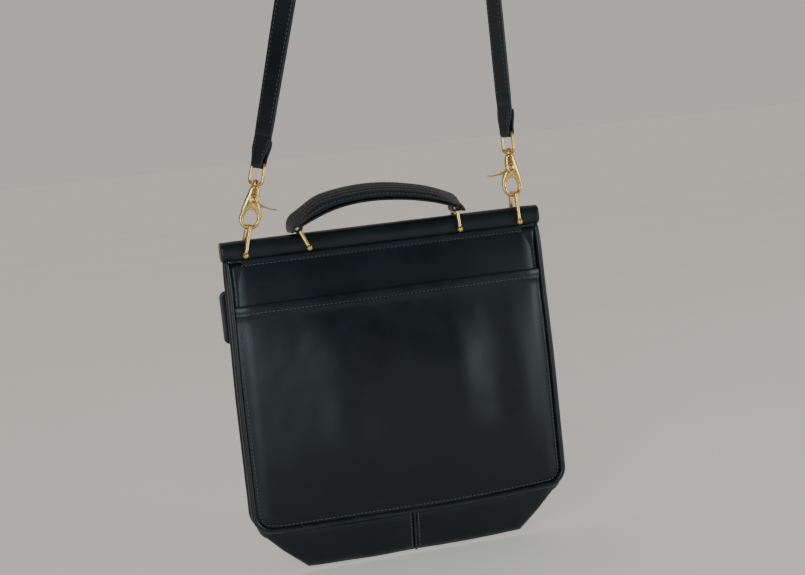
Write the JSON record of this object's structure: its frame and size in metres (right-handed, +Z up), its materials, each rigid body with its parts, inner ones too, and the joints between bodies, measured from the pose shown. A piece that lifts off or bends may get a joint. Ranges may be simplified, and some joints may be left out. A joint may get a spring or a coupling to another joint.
{
  "type": "satchel bag",
  "caption": "Slim black leather satchel with a rolled top bar, arched handle, back slip pocket, turnlock flap and a clip-on shoulder strap with brass hardware.",
  "frame": {"origin": "hang point, the inside top of the shoulder strap's loop where it passes over a peg or hand", "axes": "+Z up, +X along the top bar, -Y is the back with the slip pocket and +Y the front with the flap"},
  "size_m": [0.2824, 0.0549, 0.8565],
  "materials": {
    "black_leather": "smooth glove-tanned leather, soft sheen",
    "piping_leather": "rolled leather piping, worn glossy on its crown",
    "handle_leather": "stitched leather with rows of stitches",
    "strap_leather": "smooth strap leather",
    "lining_leather": "unlined matt flesh side",
    "bar_board": "plain hidden stiffener",
    "zip_cloth": "woven zip tape",
    "brass": "polished solid brass, lightly tarnished"
  },
  "bodies": {
    "bag": {"top_bar": "bar_board", "top_roll": "black_leather", "back_panel": "black_leather", "back_pocket": "black_leather", "front_panel": "black_leather", "front_pocket": "black_leather", "back_piping": "piping_leather", "front_piping": "piping_leather", "left_gusset": "black_leather", "right_gusset": "black_leather", "inner_pocket": "lining_leather", "zip_tape": "zip_cloth", "flap_root": "black_leather", "turnlock_base": "brass", "shoulder_strap": "strap_leather", "left_strap_end": "strap_leather", "right_strap_end": "strap_leather"},
    "flap": {"flap": "black_leather", "flap_plate": "brass", "tag_rivet": "brass"},
    "tag": {"hang_tag": "black_leather", "tag_lace": "strap_leather"},
    "turnlock": {"turnlock_knob": "brass"},
    "zip_pull": {"zip_slider": "brass"},
    "handle": {"handle_base": "handle_leather", "handle_pad": "handle_leather", "handle_cover": "handle_leather"},
    "left_strap_dee": {"left_strap_dee": "brass", "left_strap_dee_pin": "brass"},
    "left_handle_dee": {"left_handle_dee": "brass", "left_handle_dee_pin": "brass"},
    "left_eye": {"left_eye": "brass"},
    "left_snap": {"left_snap": "brass", "left_trigger_pin": "brass"},
    "left_trigger": {"left_trigger": "brass"},
    "right_strap_dee": {"right_strap_dee": "brass", "right_strap_dee_pin": "brass"},
    "right_handle_dee": {"right_handle_dee": "brass", "right_handle_dee_pin": "brass"},
    "right_eye": {"right_eye": "brass"},
    "right_snap": {"right_snap": "brass", "right_trigger_pin": "brass"},
    "right_trigger": {"right_trigger": "brass"}
  },
  "joints": [
    {"name": "left_strap_dee_tilt", "type": "hinge", "parent": "bag", "child": "left_strap_dee", "pos_m": [-0.1984, 0, -0.58098], "axis": [0, 1, 0], "range_deg": [-8, 8]},
    {"name": "left_eye_swing", "type": "hinge", "parent": "bag", "child": "left_eye", "pos_m": [-0.17718, 0, -0.50696], "axis": [0, 1, 0], "range_deg": [-5, 5]},
    {"name": "left_snap_swivel", "type": "hinge", "parent": "left_eye", "child": "left_snap", "pos_m": [-0.18999, 0, -0.55166], "axis": [0.2756, 0, 0.9613], "range_deg": [-20, 20]},
    {"name": "left_trigger_press", "type": "hinge", "parent": "left_snap", "child": "left_trigger", "pos_m": [-0.18498, 0, -0.53562], "axis": [0, 1, 0], "range_deg": [0, 14], "stiffness_Nm_per_rad": 0.01, "springref_deg": -17.19},
    {"name": "right_strap_dee_tilt", "type": "hinge", "parent": "bag", "child": "right_strap_dee", "pos_m": [0.0416, 0, -0.58098], "axis": [0, 1, 0], "range_deg": [-8, 8]},
    {"name": "right_eye_swing", "type": "hinge", "parent": "bag", "child": "right_eye", "pos_m": [0.0416, 0, -0.50398], "axis": [0, 1, 0], "range_deg": [-5, 5]},
    {"name": "right_snap_swivel", "type": "hinge", "parent": "right_eye", "child": "right_snap", "pos_m": [0.0416, 0, -0.55048], "axis": [0, 0, 1], "range_deg": [-20, 20]},
    {"name": "right_trigger_press", "type": "hinge", "parent": "right_snap", "child": "right_trigger", "pos_m": [0.0412, 0, -0.53368], "axis": [0, -1, 0], "range_deg": [0, 14], "stiffness_Nm_per_rad": 0.01, "springref_deg": -17.19},
    {"name": "left_handle_dee_tilt", "type": "hinge", "parent": "bag", "child": "left_handle_dee", "pos_m": [-0.1444, 0, -0.58098], "axis": [0, 1, 0], "range_deg": [0, 12]},
    {"name": "right_handle_dee_tilt", "type": "hinge", "parent": "bag", "child": "right_handle_dee", "pos_m": [-0.0124, 0, -0.58098], "axis": [0, 1, 0], "range_deg": [0, 12]},
    {"name": "handle_turn", "type": "hinge", "parent": "left_handle_dee", "child": "handle", "pos_m": [-0.15141, 0, -0.56364], "axis": [0, 1, 0], "range_deg": [-12, 0]},
    {"name": "flap_lift", "type": "hinge", "parent": "bag", "child": "flap", "pos_m": [-0.0784, 0.0092, -0.58958], "axis": [1, 0, 0], "range_deg": [0, 95]},
    {"name": "turnlock_turn", "type": "hinge", "parent": "bag", "child": "turnlock", "pos_m": [-0.0784, 0.02883, -0.67698], "axis": [0, 1, 0], "range_deg": [0, 90]},
    {"name": "tag_swing", "type": "hinge", "parent": "flap", "child": "tag", "pos_m": [-0.2034, 0.02206, -0.59698], "axis": [0, 1, 0], "range_deg": [-4, 12]},
    {"name": "zip_slide", "type": "slide", "parent": "bag", "child": "zip_pull", "axis": [1, 0, 0], "range_m": [0, 0.16]}
  ],
  "couplings": [
    {"joint": "left_eye_swing", "follows": "left_strap_dee_tilt", "ratio": -0.5587},
    {"joint": "right_eye_swing", "follows": "right_strap_dee_tilt", "ratio": -0.5587},
    {"joint": "right_handle_dee_tilt", "follows": "left_handle_dee_tilt", "ratio": 0.96319},
    {"joint": "handle_turn", "follows": "left_handle_dee_tilt", "ratio": -0.95858}
  ]
}
